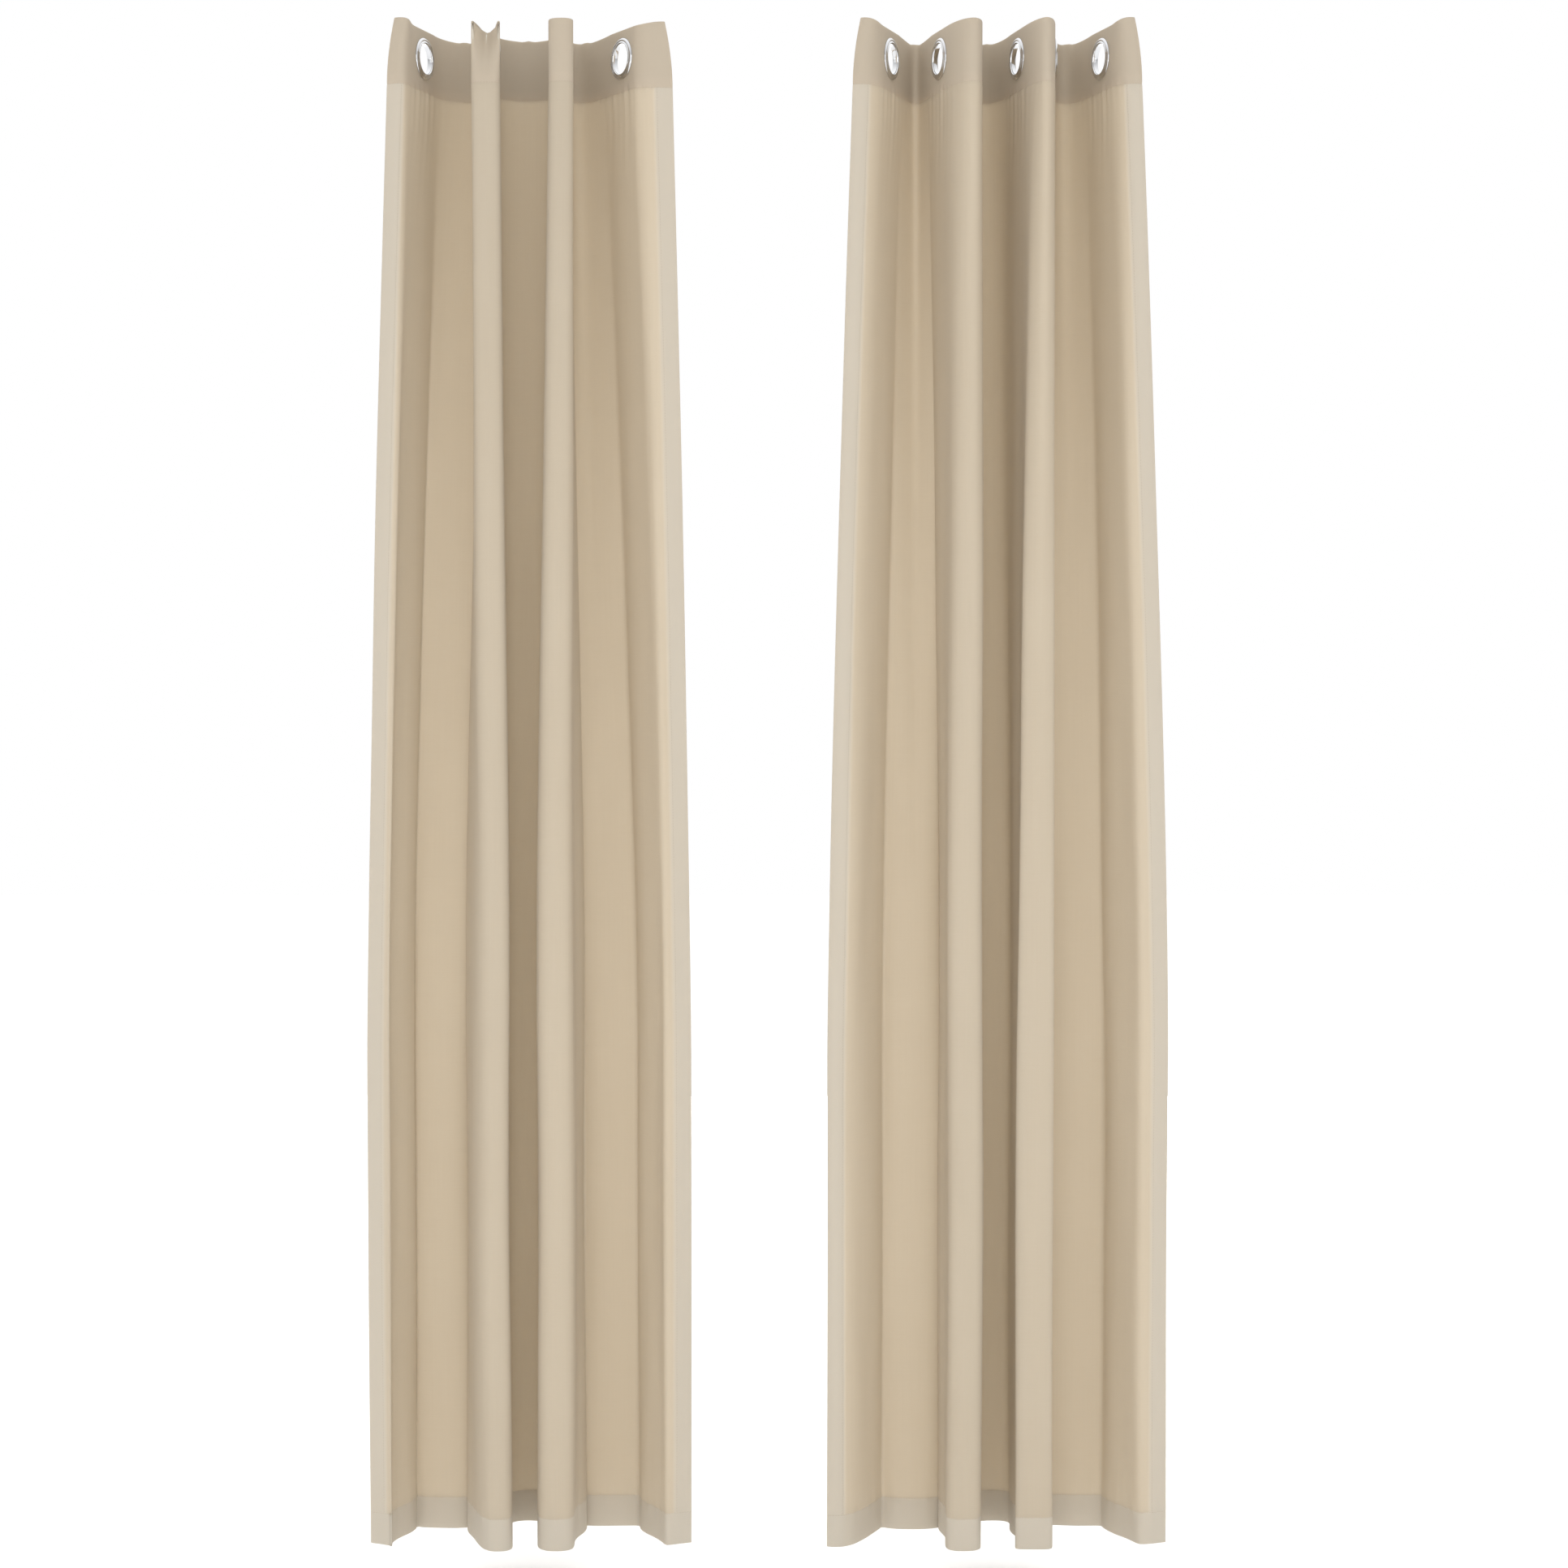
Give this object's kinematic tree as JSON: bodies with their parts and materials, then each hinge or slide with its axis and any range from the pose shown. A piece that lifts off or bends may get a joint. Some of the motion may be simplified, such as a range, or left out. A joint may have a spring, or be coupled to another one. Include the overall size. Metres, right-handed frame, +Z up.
{
  "type": "eyelet curtain pair",
  "caption": "Eyelet curtain panels hanging in deep gathered folds, drawn along a rod on snap-together ring eyelets.",
  "frame": {"origin": "on the axis of the rod that the eyelets hang on, midway between the two outermost eyelets", "axes": "+X along the rod, to the right as seen from the room; -Y into the room; +Z up"},
  "size_m": [1.128, 0.166, 2.1348],
  "materials": {
    "cloth": "plain woven polyester, warm beige, matt with a faint cross-wise slub",
    "header_stiffener": "off-white pressed buckram inside the header",
    "eyelet_front": "bright chrome plating on a moulded ring",
    "eyelet_back": "bright chrome plating on a moulded ring"
  },
  "bodies": {
    "parked_ends": {"left_pleat_1": "cloth", "left_header_stiffener_1": "header_stiffener", "left_eyelet_1_front_ring": "eyelet_front", "left_eyelet_1_back_ring": "eyelet_back", "right_pleat_6": "cloth", "right_header_stiffener_6": "header_stiffener", "right_eyelet_6_front_ring": "eyelet_front", "right_eyelet_6_back_ring": "eyelet_back"},
    "left_eyelet_2": {"left_pleat_2": "cloth", "left_header_stiffener_2": "header_stiffener", "left_eyelet_2_front_ring": "eyelet_front", "left_eyelet_2_back_ring": "eyelet_back"},
    "left_eyelet_3": {"left_pleat_3": "cloth", "left_header_stiffener_3": "header_stiffener", "left_eyelet_3_front_ring": "eyelet_front", "left_eyelet_3_back_ring": "eyelet_back"},
    "left_eyelet_4": {"left_pleat_4": "cloth", "left_header_stiffener_4": "header_stiffener", "left_eyelet_4_front_ring": "eyelet_front", "left_eyelet_4_back_ring": "eyelet_back"},
    "left_eyelet_5": {"left_pleat_5": "cloth", "left_header_stiffener_5": "header_stiffener", "left_eyelet_5_front_ring": "eyelet_front", "left_eyelet_5_back_ring": "eyelet_back"},
    "left_eyelet_6": {"left_pleat_6": "cloth", "left_header_stiffener_6": "header_stiffener", "left_eyelet_6_front_ring": "eyelet_front", "left_eyelet_6_back_ring": "eyelet_back"},
    "right_eyelet_5": {"right_pleat_5": "cloth", "right_header_stiffener_5": "header_stiffener", "right_eyelet_5_front_ring": "eyelet_front", "right_eyelet_5_back_ring": "eyelet_back"},
    "right_eyelet_4": {"right_pleat_4": "cloth", "right_header_stiffener_4": "header_stiffener", "right_eyelet_4_front_ring": "eyelet_front", "right_eyelet_4_back_ring": "eyelet_back"},
    "right_eyelet_3": {"right_pleat_3": "cloth", "right_header_stiffener_3": "header_stiffener", "right_eyelet_3_front_ring": "eyelet_front", "right_eyelet_3_back_ring": "eyelet_back"},
    "right_eyelet_2": {"right_pleat_2": "cloth", "right_header_stiffener_2": "header_stiffener", "right_eyelet_2_front_ring": "eyelet_front", "right_eyelet_2_back_ring": "eyelet_back"},
    "right_eyelet_1": {"right_pleat_1": "cloth", "right_header_stiffener_1": "header_stiffener", "right_eyelet_1_front_ring": "eyelet_front", "right_eyelet_1_back_ring": "eyelet_back"}
  },
  "joints": [
    {"name": "left_draw", "type": "slide", "parent": "parked_ends", "child": "left_eyelet_6", "axis": [1, 0, 0], "range_m": [-0.12, 0.085], "deforming": ["left_pleat_6", "left_header_stiffener_6", "left_pleat_1", "left_header_stiffener_1"]},
    {"name": "left_eyelet_5_slide", "type": "slide", "parent": "parked_ends", "child": "left_eyelet_5", "axis": [1, 0, 0], "range_m": [-0.0857, 0.06085], "deforming": ["left_pleat_5", "left_header_stiffener_5"]},
    {"name": "left_eyelet_4_slide", "type": "slide", "parent": "parked_ends", "child": "left_eyelet_4", "axis": [1, 0, 0], "range_m": [-0.0845, 0.06], "deforming": ["left_pleat_4", "left_header_stiffener_4"]},
    {"name": "left_eyelet_3_slide", "type": "slide", "parent": "parked_ends", "child": "left_eyelet_3", "axis": [1, 0, 0], "range_m": [-0.0401, 0.02855], "deforming": ["left_pleat_3", "left_header_stiffener_3"]},
    {"name": "left_eyelet_2_slide", "type": "slide", "parent": "parked_ends", "child": "left_eyelet_2", "axis": [1, 0, 0], "range_m": [-0.0377, 0.02685], "deforming": ["left_pleat_2", "left_header_stiffener_2"]},
    {"name": "right_draw", "type": "slide", "parent": "parked_ends", "child": "right_eyelet_1", "axis": [-1, 0, 0], "range_m": [-0.12, 0.085], "deforming": ["right_pleat_1", "right_header_stiffener_1", "right_pleat_6", "right_header_stiffener_6"]},
    {"name": "right_eyelet_2_slide", "type": "slide", "parent": "parked_ends", "child": "right_eyelet_2", "axis": [-1, 0, 0], "range_m": [-0.0905, 0.06425], "deforming": ["right_pleat_2", "right_header_stiffener_2"]},
    {"name": "right_eyelet_3_slide", "type": "slide", "parent": "parked_ends", "child": "right_eyelet_3", "axis": [-1, 0, 0], "range_m": [-0.0725, 0.0515], "deforming": ["right_pleat_3", "right_header_stiffener_3"]},
    {"name": "right_eyelet_4_slide", "type": "slide", "parent": "parked_ends", "child": "right_eyelet_4", "axis": [-1, 0, 0], "range_m": [-0.0449, 0.03195], "deforming": ["right_pleat_4", "right_header_stiffener_4"]},
    {"name": "right_eyelet_5_slide", "type": "slide", "parent": "parked_ends", "child": "right_eyelet_5", "axis": [-1, 0, 0], "range_m": [-0.0269, 0.0192], "deforming": ["right_pleat_5", "right_header_stiffener_5"]}
  ],
  "couplings": [
    {"joint": "left_eyelet_5_slide", "follows": "left_draw", "ratio": 0.71},
    {"joint": "left_eyelet_4_slide", "follows": "left_draw", "ratio": 0.7},
    {"joint": "left_eyelet_3_slide", "follows": "left_draw", "ratio": 0.33},
    {"joint": "left_eyelet_2_slide", "follows": "left_draw", "ratio": 0.31},
    {"joint": "right_eyelet_2_slide", "follows": "right_draw", "ratio": 0.75},
    {"joint": "right_eyelet_3_slide", "follows": "right_draw", "ratio": 0.6},
    {"joint": "right_eyelet_4_slide", "follows": "right_draw", "ratio": 0.37},
    {"joint": "right_eyelet_5_slide", "follows": "right_draw", "ratio": 0.22}
  ]
}
